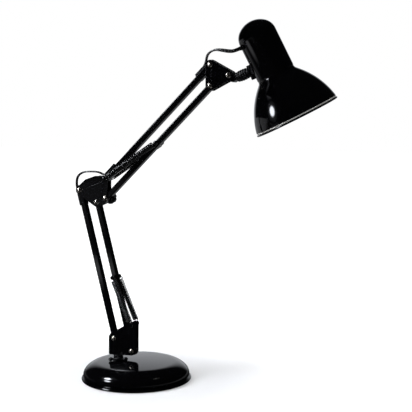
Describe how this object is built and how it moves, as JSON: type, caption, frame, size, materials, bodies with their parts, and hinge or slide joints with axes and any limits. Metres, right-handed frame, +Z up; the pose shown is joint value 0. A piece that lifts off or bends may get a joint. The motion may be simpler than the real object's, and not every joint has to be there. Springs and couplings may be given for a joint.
{
  "type": "desk lamp",
  "caption": "Black balanced-arm desk lamp: weighted round base, two sprung parallelogram arms of square tube and a bell shade on a swivelling, tilting joint.",
  "frame": {"origin": "centre of the underside of the base pad, on the surface that the lamp stands on", "axes": "+Z up; +X the way the arms and the head reach at rest; the arms lie in the XZ plane; -Y is the near side with the rivet heads"},
  "size_m": [0.4689, 0.19, 0.6057],
  "materials": {
    "black_enamel": "gloss",
    "felt_pad": "matte",
    "cast_ballast": "rough",
    "plain_steel": "satin",
    "nickel": "polished",
    "spring_steel": "bright",
    "black_plastic": "satin",
    "nylon": "satin",
    "cable_sheath": "satin",
    "holder_plastic": "satin",
    "brass": "bright"
  },
  "bodies": {
    "base": {"base_cover": "black_enamel", "base_pad": "felt_pad", "base_weight": "cast_ballast", "base_socket": "black_enamel", "base_nut": "plain_steel"},
    "locking_screw": {"wing_screw": "black_plastic"},
    "lower_bracket": {"lower_plate_near": "black_enamel", "lower_plate_far": "black_enamel", "swivel_post": "plain_steel", "lower_rivets": "nickel", "lug_stubs": "plain_steel", "lower_bushes": "nylon"},
    "rear_lower_arm": {"rear_lower_tube": "black_enamel", "rear_lower_sleeve": "black_plastic", "cable_lower": "cable_sheath"},
    "front_lower_arm": {"front_lower_tube": "black_enamel", "lower_spring_pin": "plain_steel", "lower_springs": "spring_steel"},
    "elbow_bracket": {"elbow_plate_near": "black_enamel", "elbow_plate_far": "black_enamel", "elbow_rivets": "nickel", "elbow_spring_pin": "plain_steel", "elbow_bolt": "nickel", "elbow_washer": "plain_steel", "elbow_bushes": "nylon", "cable_elbow_rear": "cable_sheath", "cable_elbow_front": "cable_sheath"},
    "elbow_tension_knob": {"elbow_knob": "black_plastic"},
    "top_upper_arm": {"top_upper_tube": "black_enamel", "top_upper_sleeve_low": "black_plastic", "top_upper_sleeve_high": "black_plastic", "cable_upper": "cable_sheath"},
    "lower_upper_arm": {"lower_upper_tube": "black_enamel", "upper_spring_pin": "plain_steel", "upper_springs": "spring_steel"},
    "head_bracket": {"head_plate_near": "black_enamel", "head_plate_far": "black_enamel", "head_rivets": "nickel", "head_bolt": "nickel", "head_washer": "plain_steel", "head_bushes": "nylon", "cable_head_rear": "cable_sheath"},
    "head_tension_nut": {"head_wing_nut": "black_plastic"},
    "knuckle": {"knuckle_stem": "plain_steel", "knuckle_boot": "black_plastic", "knuckle_nut": "plain_steel", "cable_head_middle": "cable_sheath"},
    "head": {"shade": "black_enamel", "shade_rim": "black_plastic", "lamp_housing": "black_enamel", "housing_clip": "black_enamel", "cable_grommet": "black_plastic", "lamp_holder": "holder_plastic", "holder_thread": "brass", "holder_contact": "brass", "holder_nipple": "plain_steel", "holder_bridge": "plain_steel", "cable_head_front": "cable_sheath"}
  },
  "joints": [
    {"name": "bracket_swivel", "type": "hinge", "parent": "base", "child": "lower_bracket", "pos_m": [-0.0365, 0, 0.0377], "axis": [0, 0, 1], "continuous": true},
    {"name": "locking_screw_turn", "type": "hinge", "parent": "base", "child": "locking_screw", "pos_m": [-0.0365, 0, 0.0355], "axis": [0.5, -0.866, 0], "range_deg": [-1, 3]},
    {"name": "lower_arm_swing", "type": "hinge", "parent": "lower_bracket", "child": "rear_lower_arm", "pos_m": [-0.0422, 0, 0.0676], "axis": [0, 1, 0], "range_deg": [-20, 75], "deforming": ["lower_springs", "cable_elbow_rear"]},
    {"name": "front_lower_follow", "type": "hinge", "parent": "lower_bracket", "child": "front_lower_arm", "pos_m": [-0.007, 0, 0.0479], "axis": [0, 1, 0], "range_deg": [-20, 75]},
    {"name": "elbow_level", "type": "hinge", "parent": "rear_lower_arm", "child": "elbow_bracket", "pos_m": [-0.11112, 0, 0.32483], "axis": [0, 1, 0], "range_deg": [-75, 20]},
    {"name": "elbow_knob_turn", "type": "hinge", "parent": "elbow_bracket", "child": "elbow_tension_knob", "pos_m": [-0.05802, 0, 0.31243], "axis": [0, 1, 0], "range_deg": [-180, 180]},
    {"name": "upper_arm_swing", "type": "hinge", "parent": "elbow_bracket", "child": "top_upper_arm", "pos_m": [-0.05802, 0, 0.34623], "axis": [0, 1, 0], "range_deg": [-20, 58], "deforming": ["upper_springs", "cable_elbow_front", "cable_head_rear"]},
    {"name": "lower_upper_follow", "type": "hinge", "parent": "elbow_bracket", "child": "lower_upper_arm", "pos_m": [-0.05802, 0, 0.31243], "axis": [0, 1, 0], "range_deg": [-20, 58]},
    {"name": "head_level", "type": "hinge", "parent": "top_upper_arm", "child": "head_bracket", "pos_m": [0.14236, 0, 0.53704], "axis": [0, 1, 0], "range_deg": [-58, 20]},
    {"name": "head_nut_turn", "type": "hinge", "parent": "head_bracket", "child": "head_tension_nut", "pos_m": [0.17536, 0, 0.51934], "axis": [0, 1, 0], "range_deg": [-180, 180]},
    {"name": "head_tilt", "type": "hinge", "parent": "head_bracket", "child": "knuckle", "pos_m": [0.17536, 0, 0.51934], "axis": [0, 1, 0], "range_deg": [-40, 45], "deforming": ["cable_head_middle"]},
    {"name": "head_swivel", "type": "hinge", "parent": "knuckle", "child": "head", "pos_m": [0.24471, 0, 0.53761], "axis": [0.9336, 0, 0.3584], "range_deg": [-80, 80], "deforming": ["cable_head_front"]}
  ],
  "couplings": [
    {"joint": "front_lower_follow", "follows": "lower_arm_swing", "ratio": 1},
    {"joint": "elbow_level", "follows": "lower_arm_swing", "ratio": -1},
    {"joint": "lower_upper_follow", "follows": "upper_arm_swing", "ratio": 1},
    {"joint": "head_level", "follows": "upper_arm_swing", "ratio": -1}
  ]
}
